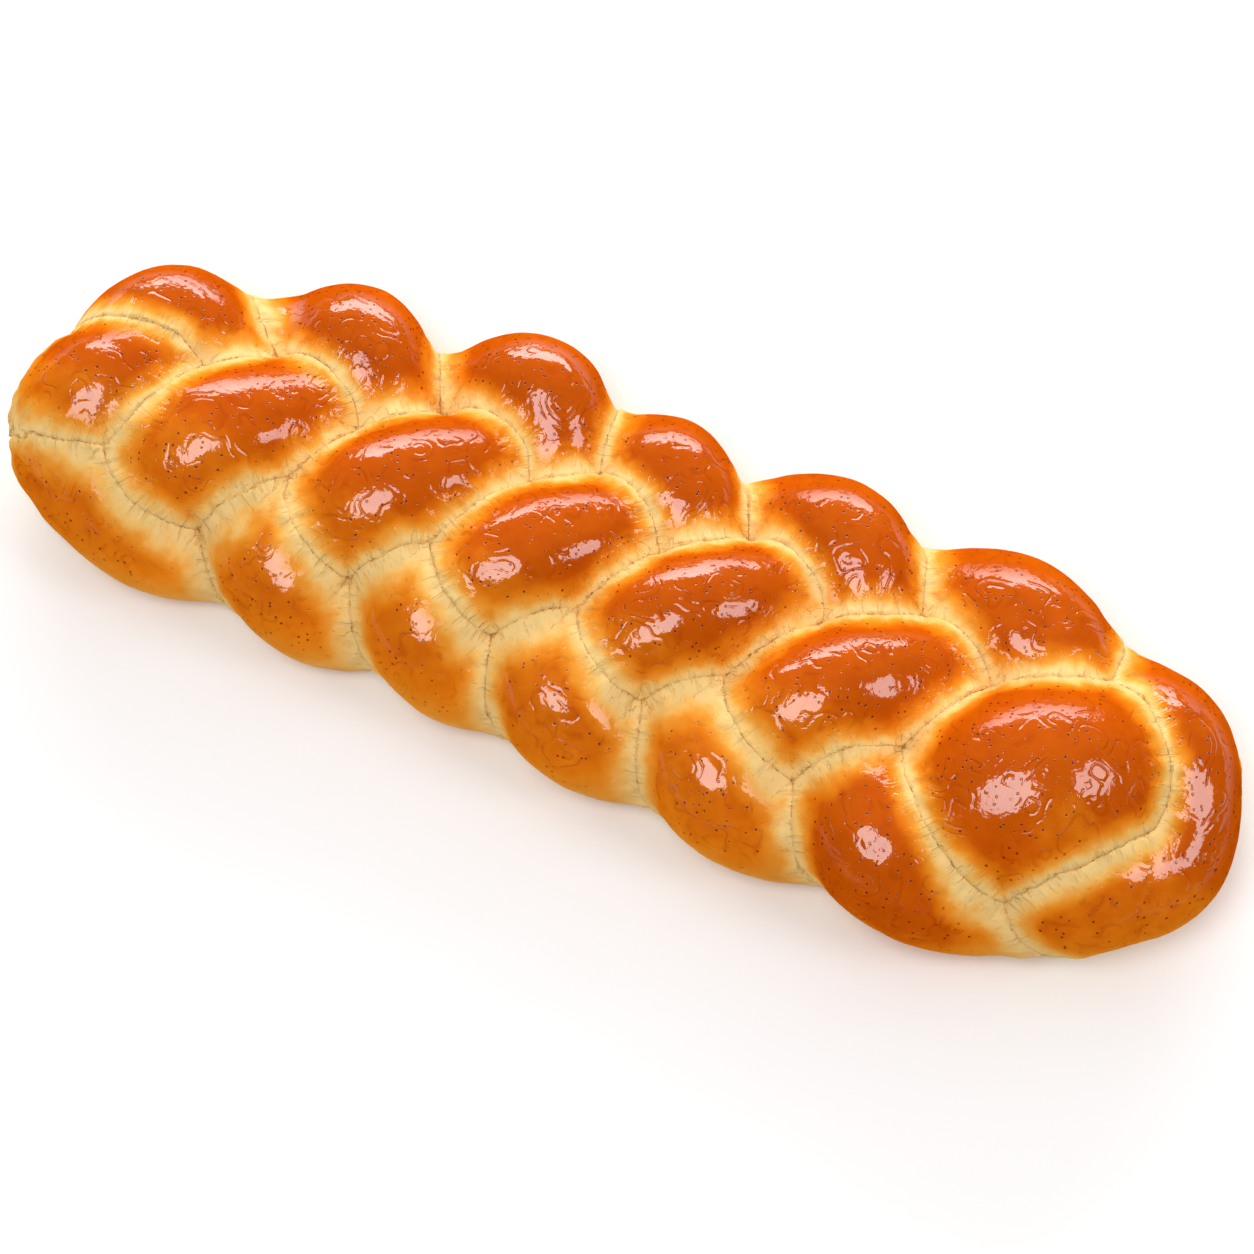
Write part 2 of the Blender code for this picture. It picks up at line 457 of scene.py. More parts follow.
@dataclass(frozen=True)
class Swelling:
    """How unevenly a lobe rises in the oven, in millimetres.

    Attributes:
        swells: height and length of its broad swells.
        lumps: height and length of the small lumps on them.
        clear_of_seam: span from the seam over which the swells grow to their full height.
        foot_rounding: how softly the lobe's side turns into its flat base.
    """

    swells: tuple[float, float] = (0.55, 26.0)
    lumps: tuple[float, float] = (0.14, 7.0)
    clear_of_seam: tuple[float, float] = (0.0, 6.0)
    foot_rounding: float = 1.6

    def relief(self, noise: LatticeNoise, place: Array, seam_gap: Array) -> Array:
        """How far the swells move the points outwards, in millimetres."""
        (swell, swell_length), (lump, lump_length) = self.swells, self.lumps
        total = swell * noise.at(place, swell_length * MM) + lump * noise.at(place, lump_length * MM)
        return total * rise(self.clear_of_seam, seam_gap)

    def settle(self, place: Array) -> None:
        """Flattens what reaches below the tray's surface."""
        height = place[:, 2]
        place[:, 2] = (height + np.sqrt(height**2 + (self.foot_rounding * MM) ** 2)) / 2


@dataclass(frozen=True)
class Browning:
    """How the crust browns. Widths, lengths and spans are in millimetres.

    Attributes:
        under_near: width of the pale band on a rope where it dives under another, on the near side.
        under_far: the same on the far side, which browned more.
        over: width of the pale rim on a rope where it lies on top.
        flat: how much of the band's inner part stays evenly pale.
        dive: span of heights above its neighbour's middle over which a rope stops diving under it.
        low_rope: span of heights of a rope's middle over which it stops being a side lobe.
        middle_row: span of distances from the axis over which a neighbour stops being a middle lobe.
        far_side: span across the loaf over which the near side becomes the far side.
        broad_end: span along the loaf over which its end browns as the far side does.
        ragged: how far the edge of the brown wanders, as a share of the band.
        ragged_lengths: lengths of those swings.
        most: the deepest browning, in widths of the band.
        patches: height and length of the uneven browning.
        side_row: span across the loaf over which the near side's lobes end.
        round_end: span along the loaf over which its rounded end counts as one of its sides.
        side_paling: how much less the near side's lobes brown.
        brown_lobe: place along the loaf of the one near lobe that browned like the rest.
        brown_lobe_reach: span from its middle over which it ends.
        flank_foot: height where a flank is palest, and how much more on the outer side.
        flank_top: height where it is fully brown, and how much more on the outer side.
        tone: height and length of the broad darker and lighter patches.
        tray_touch: span of heights over which the skin stops being baked by the tray.
        tray_facing: how far the skin faces down where that begins, and where it is complete.
    """

    under_near: float = 12.5
    under_far: float = 8.0
    over: float = 5.0
    flat: float = 0.6
    dive: tuple[float, float] = (-10.0, -2.0)
    low_rope: tuple[float, float] = (25.0, 30.0)
    middle_row: tuple[float, float] = (18.0, 28.0)
    far_side: tuple[float, float] = (-10.0, 10.0)
    broad_end: tuple[float, float] = (125.0, 165.0)
    ragged: float = 0.12
    ragged_lengths: tuple[float, float] = (11.0, 4.5)
    most: float = 1.85
    patches: tuple[float, float] = (0.15, 6.5)
    side_row: tuple[float, float] = (-22.0, -8.0)
    round_end: tuple[float, float] = (170.0, 185.0)
    side_paling: float = 0.30
    brown_lobe: float = 112.0
    brown_lobe_reach: tuple[float, float] = (18.0, 38.0)
    flank_foot: tuple[float, float] = (3.0, 5.0)
    flank_top: tuple[float, float] = (27.0, 9.0)
    tone: tuple[float, float] = (0.035, 16.0)
    tray_touch: tuple[float, float] = (0.3, 2.5)
    tray_facing: tuple[float, float] = (0.2, 0.8)

    def wide_share(self, heights: Array, centres: Array) -> Array:
        """How far the wide pale band counts, from 0 to 1.

        Args:
            heights: of the rope's middle, a column.
            centres: of the neighbour's balls, in rows.

        Returns:
            The share for each point, in rows, and each ball, in columns.
        """
        dives = 1 - rise(self.dive, heights - centres[:, 2])
        low_rope = 1 - rise(self.low_rope, heights)
        middle_row = 1 - rise(self.middle_row, np.abs(centres[:, 1]))
        return dives * low_rope * middle_row[None, :]

    def width(self, place: Array, wide: Array) -> Array:
        """The band's width at these places, in metres, where the wide band counts this much."""
        browner = np.maximum(rise(self.far_side, place[:, 1]), rise(self.broad_end, place[:, 0]))[:, None]
        under = self.under_near + (self.under_far - self.under_near) * browner
        return (self.over + (under - self.over) * wide) * MM

    def depth(self, share: Array, place: Array, noise: LatticeNoise) -> Array:
        """How brown the crust is.

        Args:
            share: distances from the seam, in widths of the pale band.
            place: where the points are.
            noise: the rope's own swells.

        Returns:
            The browning, 0 for cream and about 2 for the deepest brown.
        """
        broad, fine = self.ragged_lengths
        swings = noise.at(place, broad * MM) + 0.5 * noise.at(place, fine * MM)
        edged = share + self.ragged * swings * smooth_step(0, 0.6, share)
        patch, patch_length = self.patches
        brown = np.minimum(edged, self.most) + patch * noise.octaves(place, patch_length * MM, 3)
        from_brown_lobe = np.abs(place[:, 0] - self.brown_lobe * MM)
        paler = self.near_side(place) * rise(self.brown_lobe_reach, from_brown_lobe)
        return brown * (1 - self.side_paling * paler)

    def near_side(self, place: Array) -> Array:
        """1 on the near row of lobes, 0 elsewhere."""
        return 1 - rise(self.side_row, place[:, 1])

    def low_side(self, place: Array) -> Array:
        """1 at the foot of a lobe's flank and 0 at its top. The crust is drawn paler there: partly its own
        paler bake low on the flank, partly painted light on the near flanks, which face away from the
        window.
        """
        outer = np.maximum(self.near_side(place), rise(self.round_end, place[:, 0]))
        foot = self.flank_foot[0] + self.flank_foot[1] * outer
        top = self.flank_top[0] + self.flank_top[1] * outer
        return 1 - smooth_step(foot * MM, top * MM, place[:, 2])

    def on_tray(self, place: Array, outward: Array) -> Array:
        """1 where the skin lies on the tray, 0 where it is clear of it."""
        touches = 1 - rise(self.tray_touch, place[:, 2])
        return touches * smooth_step(*self.tray_facing, -outward[:, 2])

    def patch_tone(self, place: Array, noise: LatticeNoise) -> Array:
        """How much darker or lighter the crust is in broad patches."""
        return self.tone[0] * noise.octaves(place, self.tone[1] * MM, 2)


@dataclass(frozen=True)
class EggWash:
    """Where the beaten egg was brushed on.

    Attributes:
        facing_up: how far the skin faces up where the wash begins, and where it lies thick.
        far_way: the direction across the loaf that the brush reached least.
        less_far: how much less it reached there.
        wrinkle_length: size of the wash's wrinkled patches, in millimetres.
        wrinkle_span: of the noise, from smooth to wrinkled.
        contour_length: size of the swells that the wrinkles run round, in millimetres.
        elsewhere: metres by which the two noises are moved, so that they are unlike the browning's.
    """

    facing_up: tuple[float, float] = (0.55, 0.88)
    far_way: tuple[float, float, float] = (-0.43, 0.90, 0.0)
    less_far: float = 0.3
    wrinkle_length: float = 4.0
    wrinkle_span: tuple[float, float] = (-0.35, 0.25)
    contour_length: float = 9.0
    elsewhere: tuple[float, float] = (0.5, 0.7)

    def thickness(self, outward: Array) -> Array:
        """How thick the wash lies, from 0 to 1, on skin that faces these ways."""
        far_facing = np.maximum(outward @ np.array(self.far_way), 0)
        return smooth_step(*self.facing_up, outward[:, 2] - self.less_far * far_facing)

    def contour(self, place: Array, noise: LatticeNoise) -> Array:
        """The swells that the wrinkles follow, about 0.5."""
        return 0.5 + 0.25 * noise.octaves(place + self.elsewhere[0], self.contour_length * MM, 2)

    def wrinkled(self, place: Array, noise: LatticeNoise) -> Array:
        """1 where the wash dried wrinkled, 0 where it is smooth."""
        patches = noise.at(place + self.elsewhere[1], self.wrinkle_length * MM)
        return smooth_step(*self.wrinkle_span, patches)


@dataclass(frozen=True)
class BakeSheet:
    """The flat sheet that a rope's skin is laid out on, in two halves side by side.

    Attributes:
        side_margin: free strip left of each half.
        width: of each half.
        second: where the second half begins, after the first.
        end_margin: free strip before the first ring.
        height: of the rings.
        tip_margin: free strip before the rope's tip.
    """

    side_margin: float = 0.01
    width: float = 0.48
    second: float = 0.5
    end_margin: float = 0.02
    height: float = 0.96
    tip_margin: float = 0.01

    def tips(self, low: float, high: float) -> list[tuple[float, float]]:
        """The corners of one face at each tip of the rope, between two places round it."""
        left, right = self.side_margin + self.width * low, self.side_margin + self.width * high
        middle, away = (left + right) / 2, self.second
        first = [(middle, self.tip_margin), (right, self.end_margin), (left, self.end_margin)]
        last_tip, last_ring = 1 - self.tip_margin, self.end_margin + self.height
        return [*first, (middle + away, last_tip), (left + away, last_ring), (right + away, last_ring)]


class Detail(Enum):
    """How finely a rope's skin is meshed: rings along it and points round it."""

    FULL = (752, 124)
    QUICK = (300, 60)


@dataclass
class PressedSkin:
    """A rope's skin where it has been pressed against its neighbours.

    Attributes:
        points: places on the round rope.
        outward: the skin's directions there.
        heights: of the rope's middle there.
        lift: how far the skin is moved outwards, less than 0 where it is pressed in.
        seam_gap: how far away the seam is.
        foot: the nearest place on the seam.
    """

    points: Array
    outward: Array
    heights: Array
    lift: Array
    seam_gap: Array
    foot: Array

    def place(self) -> Array:
        """Where the skin's points are."""
        return self.points + self.lift[:, None] * self.outward


@dataclass
class DoughRope:
    """One rope of the plait, with its skin pressed against its neighbours.

    Attributes:
        plait: the plan it follows.
        index: its number, from 0.
        scale: metres in a pitch.
        shift: moves the plan to the frame's box.
        seam: how it meets its neighbours.
        swelling: how unevenly it rose.
        browning: how it browned.
        wash: where it was brushed with egg.
        sheet: the flat sheet its colours are drawn on.
        detail: how finely it is meshed.
        rounds: of pressing, after which the skin lies still.
        crowding: how much closer together the points lie on top than underneath.
    """

    plait: Plait
    index: int
    scale: float
    shift: Vector
    seam: Seam = field(default_factory=Seam)
    swelling: Swelling = field(default_factory=Swelling)
    browning: Browning = field(default_factory=Browning)
    wash: EggWash = field(default_factory=EggWash)
    sheet: BakeSheet = field(default_factory=BakeSheet)
    detail: Detail = Detail.FULL
    rounds: int = 4
    crowding: float = 0.4

    def balls(self, index: int, count: int = 700) -> tuple[Array, Array]:
        """A rope's middle line and radii, in metres."""
        steps = np.linspace(*self.plait.ends[index], count)
        middles, radii = self.plait.rope(index, steps)
        return middles * self.scale + np.array(self.shift), radii * self.scale

    def rings(self, count: int) -> tuple[Array, Array, Array, Array]:
        """Evenly spaced rings along the skin.

        Args:
            count: how many rings.

        Returns:
            The rings' middles, radii, directions along the rope, and slopes of the skin.
        """
        first, last = self.plait.ends[self.index]
        even = np.linspace(0, math.pi, 6001)  # closer together towards the tips
        steps = first + (last - first) * (1 - np.cos(even)) / 2
        middles, radii = self.plait.rope(self.index, steps)
        path = np.linalg.norm(np.diff(middles, axis=0), axis=1)
        skin = np.sqrt(path**2 + np.diff(radii) ** 2)
        walked = np.concatenate(([0], np.cumsum(skin)))
        wanted = np.interp(np.linspace(0, walked[-1], count + 2)[1:-1], walked, steps)
        nudge = 1e-4  # of a step, to find the slope
        middles, radii = self.plait.rope(self.index, wanted)
        ahead, radii_ahead = self.plait.rope(self.index, np.minimum(wanted + nudge, last))
        behind, radii_behind = self.plait.rope(self.index, np.maximum(wanted - nudge, first))
        along = ahead - behind
        length = np.linalg.norm(along, axis=1)
        slope = (radii_ahead - radii_behind) / length
        return middles, radii, along / length[:, None], slope

    def skin(self) -> tuple[Array, Array, Array]:
        """The round rope before it is pressed: its points, outward directions and middle heights."""
        ring_count, round_count = self.detail.value
        middles, radii, along, slope = self.rings(ring_count)
        turn = np.arange(round_count) / round_count
        angle = 2 * math.pi * turn - self.crowding * np.sin(2 * math.pi * turn)
        side = unit(np.cross(along, (0.0, 0.0, 1.0)))
        up = np.cross(side, along)
        sine, cosine = np.sin(angle)[None, :, None], np.cos(angle)[None, :, None]
        radial = side[:, None] * sine + up[:, None] * cosine
        points = middles[:, None] + radii[:, None, None] * radial
        outward = radial - slope[:, None, None] * along[:, None]
        first, last = self.plait.ends[self.index]
        tips, _ = self.plait.rope(self.index, np.array([first, last]))
        points = np.concatenate((points.reshape(-1, 3), tips))
        outward = np.concatenate((outward.reshape(-1, 3), -along[:1], along[-1:]))
        heights = np.concatenate((np.repeat(middles[:, 2], round_count), tips[:, 2]))
        place = points * self.scale + np.array(self.shift)
        return place, unit(outward), heights * self.scale + self.shift.z

    def faces(self) -> tuple[list[tuple[int, ...]], Array]:
        """The skin's faces, and their corners' places on the flat sheet that colour is drawn on."""
        ring_count, round_count = self.detail.value
        half = ring_count // 2
        i, j = np.meshgrid(np.arange(ring_count - 1), np.arange(round_count), indexing="ij")
        i, j = i.ravel(), j.ravel()
        right = (j + 1) % round_count
        quads = np.stack((i, i, i + 1, i + 1), 1) * round_count + np.stack((j, right, right, j), 1)
        second = (i >= half).astype(float)
        rows = np.where(i >= half, ring_count - 1 - half, half)
        down = np.stack((i, i, i + 1, i + 1), 1) - (second * half)[:, None]
        across = np.stack((j, j + 1, j + 1, j), 1) / round_count
        sheet = self.sheet
        sheet_u = sheet.side_margin + sheet.width * across + sheet.second * second[:, None]
        sheet_v = sheet.end_margin + sheet.height * down / rows[:, None]
        laid_out = np.stack((sheet_u, sheet_v), 2).reshape(-1, 2)
        faces = [tuple(q) for q in quads.tolist()]
        start, end = ring_count * round_count, ring_count * round_count + 1
        last_ring = (ring_count - 1) * round_count
        corners = []
        for k in range(round_count):
            after = (k + 1) % round_count
            faces.append((start, after, k))
            faces.append((end, last_ring + k, last_ring + after))
            corners += sheet.tips(k / round_count, (k + 1) / round_count)
        return faces, np.concatenate((laid_out, np.array(corners)))

    def neighbours(self) -> Neighbours:
        """The other ropes of the plait."""
        indices = [k for k in range(self.plait.ropes) if k != self.index]
        others = [self.balls(k) for k in indices]
        middles = np.concatenate([m for m, _ in others])
        radii = np.concatenate([r for _, r in others])
        owners = np.concatenate([np.full(len(r), k) for k, (_, r) in zip(indices, others, strict=True)])
        return Neighbours(middles, radii, owners)

    def press(self, near: Neighbours) -> PressedSkin:
        """Presses the round skin against its neighbours and fills the valleys between them.

        Args:
            near: the other ropes.

        Returns:
            The pressed skin.
        """
        points, outward, heights = self.skin()
        seam = self.seam
        fill, deepest, settled = seam.fill * MM, seam.deepest * MM, seam.settled * MM
        middles, radii = self.balls(self.index)
        own = Neighbours(middles, radii, np.full(len(radii), self.index))
        moved = np.zeros(len(points))
        for _ in range(self.rounds):
            here = points + moved[:, None] * outward
            gap, away, ball = near.press(here)
            height, _, _ = own.press(here)
            facing = (away * outward).sum(1)
            side = np.where(near.owners[ball] > self.index, 1.0, -1.0)
            gap = gap + side * seam.wander(here)
            closing = 1 - facing
            start = gap - height * facing
            reach = np.maximum(fill - start, 0)
            root = np.sqrt(np.maximum(fill**2 - fill * reach * closing, 0))
            valley = (2 * fill - reach * closing - 2 * root) / np.maximum(closing, LEAST) ** 2
            contact = start / np.maximum(closing, LEAST)
            lift = np.clip(np.minimum(valley, contact), -deepest, fill / 4)
            surface = np.clip(moved - height, -settled, settled)
            moved = surface + lift
        seam_gap = np.maximum((start - lift * closing) / np.sqrt(2 * np.maximum(closing, LEAST)), 0)
        points = points + surface[:, None] * outward
        place = points + lift[:, None] * outward
        foot = place - seam_gap[:, None] * unit(away - outward)
        return PressedSkin(points, outward, heights, lift, seam_gap, foot)

    def bake(self, skin: PressedSkin) -> Array:
        """Lets the skin swell and tear as it does in the oven.

        Args:
            skin: the pressed skin, whose lift is changed.

        Returns:
            Where its points are afterwards.
        """
        place, gap = skin.place(), skin.seam_gap
        relief = self.swelling.relief(self.swells, place, gap) + self.seam.tear(skin.foot, gap)
        edge = self.seam.fill * MM / 4
        visible = np.where(gap > 0, 1.0, smooth_step(edge - self.seam.hidden * MM, edge, skin.lift))
        skin.lift = skin.lift + MM * relief * visible + np.where(gap <= 0, self.seam.pressed * MM, 0)
        place = skin.place()
        self.swelling.settle(place)
        return place

    @property
    def swells(self) -> LatticeNoise:
        """The swells that are this rope's own."""
        return LatticeNoise(ROPE_SEED + self.index)

    def measures(self, skin: PressedSkin, place: Array, near: Neighbours) -> dict[str, Array]:
        """What the crust's finish needs to know at each point.

        Args:
            skin: the baked skin.
            place: where its points are.
            near: the other ropes.

        Returns:
            The measures by name; the distance from the seam is in millimetres.
        """
        share = near.shade(skin, place, self.browning)
        from_edge = np.maximum(self.seam.fill * MM / 4 - skin.lift, 0)
        return {
            "browning": self.browning.depth(share, place, self.swells),
            "seam_gap": np.where(skin.seam_gap > 0, skin.seam_gap, from_edge) / MM,
            "low_side": self.browning.low_side(place),
            "on_tray": self.browning.on_tray(place, skin.outward),
            "brushed": self.wash.thickness(skin.outward),
            "tone": self.browning.patch_tone(place, self.swells),
            "contour": self.wash.contour(place, self.swells),
            "wrinkled": self.wash.wrinkled(place, self.swells),
        }

    def build(self) -> bpy.types.Object:
        """Makes the rope's skin and links it to the scene."""
        near = self.neighbours()
        skin = self.press(near)
        place = self.bake(skin)
        faces, sheet = self.faces()
        mesh = bpy.data.meshes.new(f"rope_{self.index + 1}")
        mesh.from_pydata(place.tolist(), [], faces)
        mesh.uv_layers.new(name="OFBake").data.foreach_set("uv", sheet.ravel())
        mesh.polygons.foreach_set("use_smooth", np.ones(len(faces), bool))
        for name, values in self.measures(skin, place, near).items():
            mesh.attributes.new(name, "FLOAT", "POINT").data.foreach_set("value", values.astype(np.float32))
        foot = mesh.attributes.new("seam_foot", "FLOAT_VECTOR", "POINT")
        foot.data.foreach_set("vector", skin.foot.astype(np.float32).ravel())
        return add_to_scene(mesh)

    def dress(self, obj: bpy.types.Object, finish: "EggWashedCrust") -> None:
        """Gives the rope its crust."""
        obj.data.materials.append(finish.material())


AddNode = Callable[[str, dict[str, Any], dict[Any, Any]], Any]
MEASURES = ("browning", "seam_gap", "low_side", "on_tray", "brushed", "tone", "contour", "wrinkled")
TIMES = {"operation": "MULTIPLY"}
TIMES_PLUS = {"operation": "MULTIPLY_ADD"}
SMOOTH = {"interpolation_type": "SMOOTHSTEP"}
COLOURS = {"data_type": "RGBA", "clamp_factor": True}


@dataclass(frozen=True)
class EggWashedCrust:
    """Crust of an enriched dough, brushed with beaten egg and baked.

    It is deep golden brown and glossy on the lobes, where the wash lay thick and the oven's heat fell, and
    cream, dull and creased in the seams, which opened as it rose. The bread itself gives no shine: it all
    comes from the wash. Sizes are in millimetres, and colours are sRGB.

    Attributes:
        bake: colours by depth of browning, from the cream of a seam to the brown of a lobe's top.
        bake_span: how much of that scale one width of a pale band takes up.
        crack: a darker line painted along a seam, painted shade of the narrow crack where two ropes meet.
        tray: the biscuit brown of the flat base.
        speck: the small dark specks, burst bubbles in the wash.
        fold: the wrinkles of the wash.
        crease: the short creases across a seam.
        mottle: size and strength of the fine mottle.
        streak: size and strength of the streaks across a seam, drawn coarser than real ones, to show.
        seam_reach: how far from the seam streaks and creases fade out.
        flank_paling: share by which the foot of a flank is drawn less brown. This is partly the crust's own
            paler bake there and partly painted light on the near flanks.
        speck_spacing: between the places where a speck can be.
        speck_choice: span of chance over which a place gets none or one.
        speck_edge: span over which a speck ends, in spacings.
        browned: span of browning over which specks and wrinkles appear.
        washed: span of browning over which the wash begins to shine.
        fold_count: how many wrinkles run round a swell.
        fold_sharpness: power that narrows a wave to a wrinkle's ridge.
        crease_span: of the streaks' noise, from the middle of a crease to its edge.
        strengths: how strongly specks, wrinkles and creases colour the crust.
        line_width: span over which the crack's painted shade ends.
        gape: size of the stretches where it shows, and their span of noise.
        reliefs: depths of the wrinkles, fine swells, creases and specks, for the light.
        swell_size: of the fine swells.
        gloss: roughness of the dried egg.
        wash_index: index of refraction of the dried egg, raised from 1.5 to match its strong shine.
        dull: roughness of the bread.
        bread_index: index of refraction of the bread.
    """

    bake: tuple[tuple[float, str], ...] = (
        (0.05, "F0CB86"),
        (0.14, "F2BC66"),
        (0.25, "EE9A34"),
        (0.40, "E67E14"),
        (0.62, "CC5A06"),
        (0.96, "B64604"),
    )
    bake_span: float = 0.4
    # Painted shade of the narrow crack along each seam.
    crack: str = "C78A34"
    tray: str = "C98A4A"
    speck: str = "702004"
    fold: str = "A83C04"
    crease: str = "DCA24C"
    mottle: tuple[float, float] = (3.5, 0.34)
    streak: tuple[float, float] = (1.6, 0.35)
    seam_reach: float = 9.0
    flank_paling: float = 0.64
    speck_spacing: float = 2.2
    speck_choice: tuple[float, float] = (0.40, 0.45)
    speck_edge: tuple[float, float] = (0.13, 0.24)
    browned: tuple[float, float] = (0.6, 1.1)
    washed: tuple[float, float] = (0.35, 1.0)
    fold_count: float = 30.0
    fold_sharpness: float = 4.0
    crease_span: tuple[float, float] = (0.30, 0.50)
    strengths: tuple[float, float, float] = (0.9, 0.3, 0.34)
    line_width: tuple[float, float] = (0.03, 0.30)
    gape: tuple[float, float, float] = (3.2, 0.42, 0.60)
    reliefs: tuple[float, float, float, float] = (0.15, 0.18, 0.32, 0.12)
    swell_size: float = 3.0
    gloss: float = 0.09
    wash_index: float = 1.7
    dull: float = 0.45
    bread_index: float = 1.5

    def material(self) -> bpy.types.Material:
        """The crust's material, made once and shared."""
        name = "egg_washed_baked_crust"
        if name in bpy.data.materials:
            return bpy.data.materials[name]
        material = bpy.data.materials.new(name)
        material.use_nodes = True
        tree = material.node_tree
        tree.nodes.clear()
        add = partial(add_node, tree)
        marks = self.marks(add)
        depth = self.depth(add, marks)
        speck, fold, crease = self.specks(add, marks), self.folds(add, marks), self.creases(add, marks)
        colour = self.colour(add, marks, depth, speck, fold, crease)
        bump = self.relief(add, marks, speck, fold, crease)
        shines = add("MapRange", SMOOTH, {0: depth, 1: self.washed[0], 2: self.washed[1]}).outputs[0]
        wash = add("Math", TIMES, {0: shines, 1: marks["brushed"]}).outputs[0]
        finish = {
            "Base Color": colour,
            "IOR": self.bread_index,
            "Specular IOR Level": 0.0,
            "Roughness": self.dull,
            "Normal": bump,
            "Coat Weight": wash,
            "Coat IOR": self.wash_index,
            "Coat Roughness": self.gloss,
            "Coat Normal": bump,
        }
        shader = add("BsdfPrincipled", {}, finish)
        add("OutputMaterial", {}, {"Surface": shader.outputs[0]})
        return material

    def marks(self, add: AddNode) -> dict[str, Any]:
        """What the skin's points carry, the place on it, and the patterns that several methods use.

        Args:
            add: adds a node to the material.

        Returns:
            Sockets by name.
        """
        marks = {"place": add("TexCoord", {}, {}).outputs["Object"]}
        for name in MEASURES:
            marks[name] = add("Attribute", {"attribute_name": name}, {}).outputs["Fac"]
        marks["foot"] = add("Attribute", {"attribute_name": "seam_foot"}, {}).outputs["Vector"]
        fine = {"Vector": marks["place"], "Scale": 1 / (self.mottle[0] * MM), "Detail": 3.0}
        mottle = add("TexNoise", {}, {**fine, "Roughness": 0.62}).outputs["Fac"]
        marks["mottle"] = add("Math", {"operation": "SUBTRACT"}, {0: mottle, 1: 0.5}).outputs[0]
        across = {"Vector": marks["foot"], "Scale": 1 / (self.streak[0] * MM), "Detail": 2.0}
        marks["streak"] = add("TexNoise", {}, across).outputs["Fac"]
        fades = {0: marks["seam_gap"], 1: 0.0, 2: self.seam_reach, 3: 1.0, 4: 0.0}
        marks["near_seam"] = add("MapRange", SMOOTH, fades).outputs[0]
        return marks

    def depth(self, add: AddNode, marks: dict[str, Any]) -> Any:
        """The browning, mottled on the lobes, streaked near the seams and paler down the flanks, where it
        is partly painted light.

        Args:
            add: adds a node to the material.
            marks: what the skin's points carry.

        Returns:
            The socket of the browning.
        """
        mottled = add("Math", TIMES_PLUS, {0: marks["mottle"], 1: self.mottle[1], 2: marks["browning"]})
        streak = add("Math", {"operation": "SUBTRACT"}, {0: marks["streak"], 1: 0.5}).outputs[0]
        strength = add("Math", TIMES, {0: marks["near_seam"], 1: self.streak[1]}).outputs[0]
        streaked = add("Math", TIMES_PLUS, {0: streak, 1: strength, 2: mottled.outputs[0]}).outputs[0]
        # Paler towards the foot of each flank: partly the crust's own paler bake, partly painted light that
        # brightens the near flanks, which face away from the window.
        left = add("Math", TIMES_PLUS, {0: marks["low_side"], 1: -self.flank_paling, 2: 1.0}).outputs[0]
        return add("Math", TIMES, {0: streaked, 1: left}).outputs[0]

    def specks(self, add: AddNode, marks: dict[str, Any]) -> Any:
        """Small round specks at some of many scattered places.

        Args:
            add: adds a node to the material.
            marks: what the skin's points carry.

        Returns:
            The socket of how far a place is in a speck.
        """
        cells = add("TexVoronoi", {}, {"Vector": marks["place"], "Scale": 1 / (self.speck_spacing * MM)})
        chance = add("SeparateColor", {}, {0: cells.outputs["Color"]}).outputs[0]
        low, high = self.speck_choice
        chosen = add("MapRange", SMOOTH, {0: chance, 1: low, 2: high}).outputs[0]
        inner, outer = self.speck_edge
        near = {0: cells.outputs["Distance"], 1: inner, 2: outer, 3: 1.0, 4: 0.0}
        return add("Math", TIMES, {0: add("MapRange", SMOOTH, near).outputs[0], 1: chosen}).outputs[0]

    def folds(self, add: AddNode, marks: dict[str, Any]) -> Any:
        """Wrinkles of the dried wash, which run round its swells like contour lines.

        Args:
            add: adds a node to the material.
            marks: what the skin's points carry.

        Returns:
            The socket of how far a place is on a wrinkle.
        """
        turns = add("Math", TIMES, {0: marks["contour"], 1: self.fold_count}).outputs[0]
        wave = add("Math", {"operation": "COSINE"}, {0: turns}).outputs[0]
        level = add("Math", TIMES_PLUS, {0: wave, 1: 0.5, 2: 0.5}).outputs[0]
        ridge = add("Math", {"operation": "POWER"}, {0: level, 1: self.fold_sharpness}).outputs[0]
        above = add("Math", {"operation": "SUBTRACT"}, {0: 1.0, 1: marks["low_side"]}).outputs[0]
        brown = add("Math", TIMES, {0: marks["browning"], 1: above}).outputs[0]
        taut = add("MapRange", SMOOTH, {0: brown, 1: self.browned[0], 2: self.browned[1]}).outputs[0]
        where = add("Math", TIMES, {0: marks["wrinkled"], 1: taut}).outputs[0]
        return add("Math", TIMES, {0: ridge, 1: where}).outputs[0]

    def creases(self, add: AddNode, marks: dict[str, Any]) -> Any:
        """Short creases across the seams, where the dough was stretched.

        Args:
            add: adds a node to the material.
            marks: what the skin's points carry.

        Returns:
            The socket of how far a place is in a crease.
        """
        inner, outer = self.crease_span
        span = {0: marks["streak"], 1: inner, 2: outer, 3: 1.0, 4: 0.0}
        valley = add("MapRange", SMOOTH, span).outputs[0]
        return add("Math", TIMES, {0: valley, 1: marks["near_seam"]}).outputs[0]

    def colour(
        self, add: AddNode, marks: dict[str, Any], depth: Any, speck: Any, fold: Any, crease: Any
    ) -> Any:
        """The crust's colour.

        Args:
            add: adds a node to the material.
            marks: what the skin's points carry.
            depth: the browning.
            speck: where the specks are.
            fold: where the wrinkles are.
            crease: where the creases are.

        Returns:
            The socket of the colour.
        """
        scaled = add("Math", TIMES, {0: depth, 1: self.bake_span}).outputs[0]
        baked = add("ValToRGB", {}, {0: scaled})
        set_stops(baked, self.bake)
        patch = add("Math", {"operation": "ADD"}, {0: marks["tone"], 1: 1.0}).outputs[0]
        grey = add("CombineColor", {}, {0: patch, 1: patch, 2: patch}).outputs[0]
        shaded = {**COLOURS, "blend_type": "MULTIPLY"}
        colour = add("Mix", shaded, {0: 1.0, 6: baked.outputs[0], 7: grey}).outputs[2]

